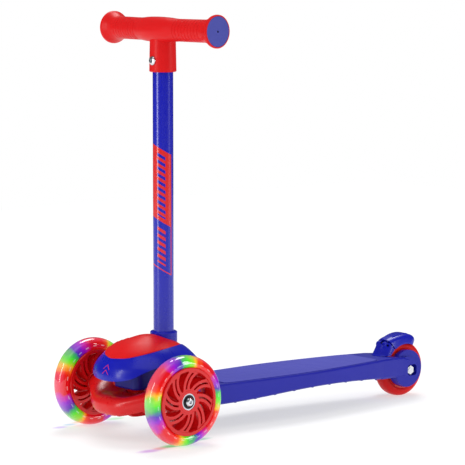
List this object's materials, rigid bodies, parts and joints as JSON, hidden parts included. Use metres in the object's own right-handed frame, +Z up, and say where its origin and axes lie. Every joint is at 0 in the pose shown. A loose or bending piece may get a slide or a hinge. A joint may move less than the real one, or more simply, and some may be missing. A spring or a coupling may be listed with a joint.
{
  "type": "kick scooter",
  "caption": "Child's lean-to-steer kick scooter: two lighted front wheels, one rear wheel under a foot brake, low deck and a fixed T handle.",
  "frame": {"origin": "on the ground, midway between the foremost and rearmost points of the wheels, in the middle of the track", "axes": "+Z up, -Y towards the front, +X to the rider's left"},
  "size_m": [0.2324, 0.58, 0.563],
  "materials": {
    "red_plastic": "moulded, satin gloss",
    "blue_plastic": "moulded, satin gloss",
    "blue_nylon": "fine moulded grain",
    "red_soft_plastic": "soft moulded grip",
    "clear_polyurethane": "clear cast polyurethane",
    "red_polyurethane": "cast polyurethane",
    "light_strip": "white strip with light modules",
    "bearing_steel": "ground and polished",
    "black_rubber": "seal rubber",
    "zinc_steel": "bright zinc",
    "black_steel": "black oxide",
    "magnet_ferrite": "sintered, dark",
    "natural_nylon": "turned nylon",
    "blue_painted_aluminium": "powder coated"
  },
  "bodies": {
    "frame": {"deck_board": "blue_nylon", "deck_pad": "blue_nylon", "steering_head": "blue_nylon", "kingpin": "zinc_steel", "kingpin_nut": "zinc_steel", "head_screws": "zinc_steel", "cowl_shell": "blue_plastic", "cowl_panel": "red_plastic", "pole_collar": "blue_plastic", "pole_tube": "blue_painted_aluminium", "handle_tee": "red_soft_plastic", "end_cap_left": "blue_plastic", "end_cap_right": "blue_plastic", "end_cap_screws": "black_steel", "stem_screw": "zinc_steel", "rear_wheel_inner_races": "bearing_steel", "rear_wheel_spacer": "zinc_steel", "rear_axle_bolt": "zinc_steel", "rear_axle_nut": "zinc_steel", "brake_base": "blue_plastic", "brake_spring": "zinc_steel", "brake_pin": "zinc_steel"},
    "front_truck": {"truck_shell": "red_plastic", "truck_bushes": "natural_nylon", "truck_post_screws": "zinc_steel", "left_wheel_inner_races": "bearing_steel", "left_wheel_magnet_sleeve": "magnet_ferrite", "left_wheel_axle_bolt": "zinc_steel", "right_wheel_inner_races": "bearing_steel", "right_wheel_magnet_sleeve": "magnet_ferrite", "right_wheel_axle_bolt": "zinc_steel"},
    "left_front_wheel": {"left_wheel_core": "red_plastic", "left_wheel_tyre": "clear_polyurethane", "left_wheel_light_ring": "light_strip", "left_wheel_outer_races": "bearing_steel", "left_wheel_seals": "black_rubber"},
    "right_front_wheel": {"right_wheel_core": "red_plastic", "right_wheel_tyre": "clear_polyurethane", "right_wheel_light_ring": "light_strip", "right_wheel_outer_races": "bearing_steel", "right_wheel_seals": "black_rubber"},
    "rear_wheel": {"rear_wheel_core": "red_plastic", "rear_wheel_tyre": "red_polyurethane", "rear_wheel_outer_races": "bearing_steel", "rear_wheel_seals": "black_rubber"},
    "brake": {"brake_fender": "blue_plastic"}
  },
  "joints": [
    {"name": "lean_steer", "type": "hinge", "parent": "frame", "child": "front_truck", "pos_m": [0, -0.222, 0.057], "axis": [0, -0.6428, 0.766], "range_deg": [-8, 8], "stiffness_Nm_per_rad": 25},
    {"name": "left_wheel_spin", "type": "hinge", "parent": "front_truck", "child": "left_front_wheel", "pos_m": [0.1, -0.23, 0.06], "axis": [1, 0, 0], "continuous": true},
    {"name": "right_wheel_spin", "type": "hinge", "parent": "front_truck", "child": "right_front_wheel", "pos_m": [-0.1, -0.23, 0.06], "axis": [1, 0, 0], "continuous": true},
    {"name": "rear_wheel_spin", "type": "hinge", "parent": "frame", "child": "rear_wheel", "pos_m": [0, 0.25, 0.04], "axis": [1, 0, 0], "continuous": true},
    {"name": "brake_press", "type": "hinge", "parent": "frame", "child": "brake", "pos_m": [0, 0.2185, 0.077], "axis": [-1, 0, 0], "range_deg": [0, 3], "stiffness_Nm_per_rad": 3, "springref_deg": -2.86}
  ]
}
